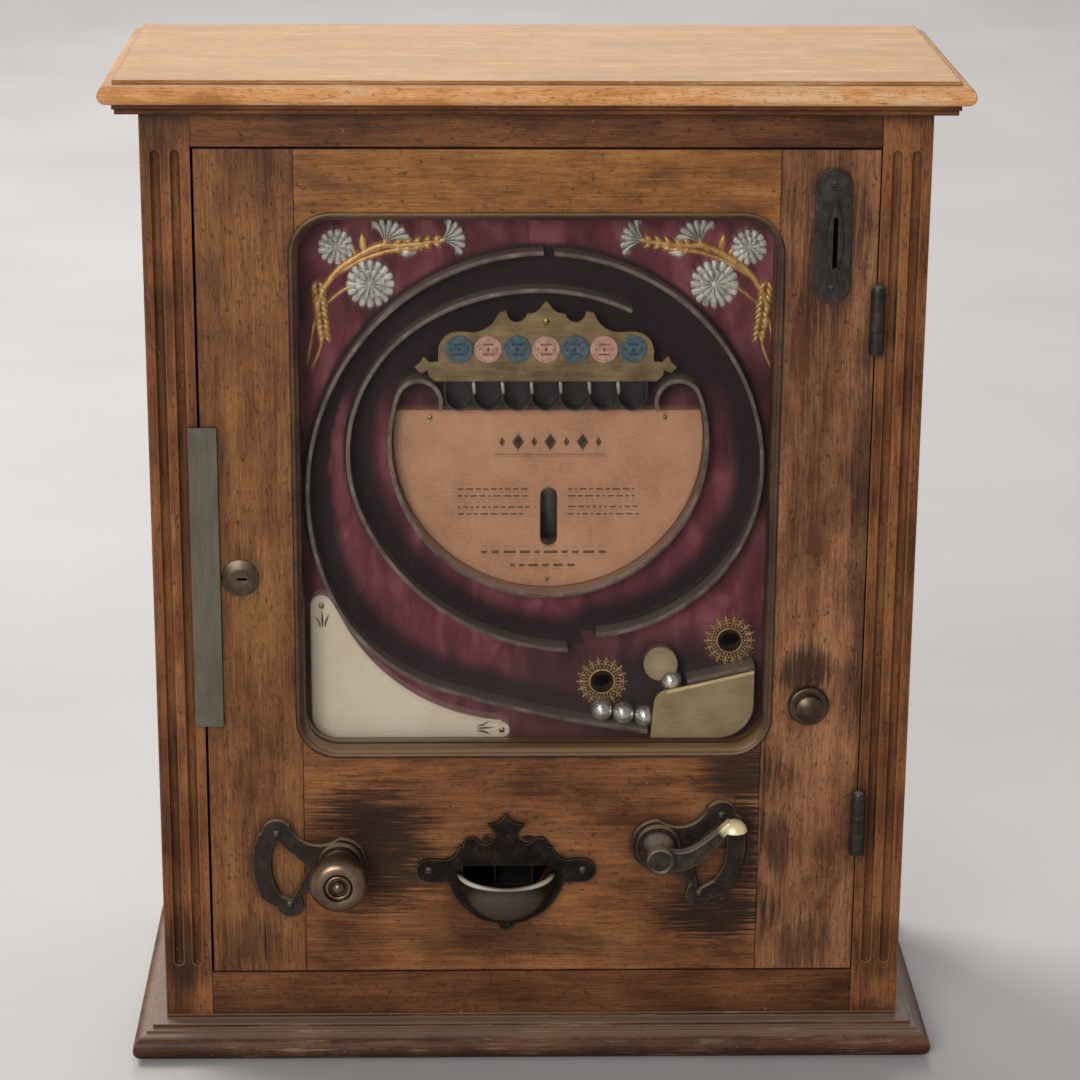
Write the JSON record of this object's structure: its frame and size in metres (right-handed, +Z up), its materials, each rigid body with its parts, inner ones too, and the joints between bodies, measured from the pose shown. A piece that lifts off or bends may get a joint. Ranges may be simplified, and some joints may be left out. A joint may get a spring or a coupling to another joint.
{
  "type": "penny arcade machine",
  "caption": "Wall-hung penny arcade game in an oak case: hinged glazed door, velvet playfield with ball rails, trigger, payout knob, coin slot and payout cup.",
  "frame": {"origin": "middle of the base board's underside", "axes": "+Z up, -Y out of the glazed front, +X to the viewer's right"},
  "size_m": [0.546, 0.2566, 0.671],
  "materials": {
    "oak": "waxed",
    "top_oak": "worn wax",
    "pine": "bare",
    "tinplate": "dull",
    "black_iron": "worn black",
    "sheet_glass": "polished",
    "steel_strip": "dull",
    "brass": "aged",
    "bronze": "polished by hands",
    "steel": "dull",
    "ball_steel": "polished",
    "velvet": "pile",
    "blue_token": "worn",
    "pink_token": "worn",
    "card": "matt",
    "gilt": "pressed gilt",
    "silvered": "pressed silvered",
    "cream_plate": "satin"
  },
  "bodies": {
    "case": {"plinth_board": "oak", "top_board": "top_oak", "cornice_moulding": "oak", "left_side_panel": "oak", "right_side_panel": "oak", "back_board": "pine", "left_pilaster": "oak", "right_pilaster": "oak", "case_rails": "oak", "cash_tin": "tinplate", "case_hinge_leaves": "black_iron", "hinge_pins": "black_iron"},
    "door": {"door_left_stile": "oak", "door_right_stile": "oak", "door_top_rail": "oak", "door_bottom_panel": "oak", "window_moulding": "oak", "glazing_bead": "oak", "playfield_board": "pine", "playfield_surround": "pine", "coin_chute": "tinplate", "check_chute": "tinplate", "token_tube": "tinplate", "door_hinge_leaves": "black_iron", "coin_slot_plate": "black_iron", "payout_cup": "black_iron", "quadrant_plates": "black_iron", "door_screws": "black_iron", "cup_row": "black_iron", "window_glass": "sheet_glass", "door_edge_strip": "steel_strip", "lock_body": "brass", "button_bezel": "brass", "cup_plaque": "brass", "hammer_cover": "brass", "return_springs": "steel", "outer_left_rail": "steel", "right_rails": "steel", "inner_rail": "steel", "card_ring_rail": "steel", "steel_balls": "ball_steel", "playfield_velvet": "velvet", "blue_tokens": "blue_token", "pink_tokens": "pink_token", "instruction_card": "card", "ball_hole_rosettes": "gilt", "spray_stems": "gilt", "spray_flowers": "silvered", "corner_plate": "cream_plate"},
    "trigger": {"trigger_lever": "brass", "trigger_shaft": "steel"},
    "link": {"trigger_link": "steel"},
    "hammer": {"hammer": "steel"},
    "knob": {"payout_knob": "bronze", "knob_shaft": "steel"},
    "slide": {"payout_slide": "brass"},
    "button": {"push_button": "brass"},
    "gate": {"ball_gate": "brass", "gate_ball": "ball_steel"},
    "lock": {"lock_plug": "brass"}
  },
  "joints": [
    {"name": "door_swing", "type": "hinge", "parent": "case", "child": "door", "pos_m": [0.2181, -0.099, 0.34], "axis": [0, 0, 1], "range_deg": [0, 110]},
    {"name": "trigger_turn", "type": "hinge", "parent": "door", "child": "trigger", "pos_m": [0.084, -0.094, 0.1514], "axis": [0, 1, 0], "range_deg": [0, 70], "stiffness_Nm_per_rad": 0.3, "springref_deg": -22.92},
    {"name": "link_turn", "type": "hinge", "parent": "trigger", "child": "link", "pos_m": [0.09383, -0.066, 0.15828], "axis": [0, 1, 0], "range_deg": [-70, 0]},
    {"name": "hammer_swing", "type": "hinge", "parent": "door", "child": "hammer", "pos_m": [0.088, -0.066, 0.195], "axis": [0, 1, 0], "range_deg": [0, 28]},
    {"name": "knob_turn", "type": "hinge", "parent": "door", "child": "knob", "pos_m": [-0.13, -0.094, 0.139], "axis": [0, 1, 0], "range_deg": [0, 90], "stiffness_Nm_per_rad": 0.2, "springref_deg": -17.19},
    {"name": "payout_slide", "type": "slide", "parent": "door", "child": "slide", "axis": [-1, 0, 0], "range_m": [0, 0.02263]},
    {"name": "button_press", "type": "slide", "parent": "door", "child": "button", "axis": [0, 1, 0], "range_m": [0, 0.006], "stiffness_N_per_m": 200, "springref_m": -0.004},
    {"name": "gate_turn", "type": "hinge", "parent": "door", "child": "gate", "pos_m": [0.0853, -0.066, 0.2723], "axis": [0, 1, 0], "range_deg": [0, 60]},
    {"name": "lock_turn", "type": "hinge", "parent": "door", "child": "lock", "pos_m": [-0.1929, -0.094, 0.341], "axis": [0, 1, 0], "range_deg": [0, 90]}
  ],
  "couplings": [
    {"joint": "link_turn", "follows": "trigger_turn", "ratio": -1},
    {"joint": "hammer_swing", "follows": "trigger_turn", "ratio": 0.4},
    {"joint": "payout_slide", "follows": "knob_turn", "m_per_rad": 0.014405}
  ]
}
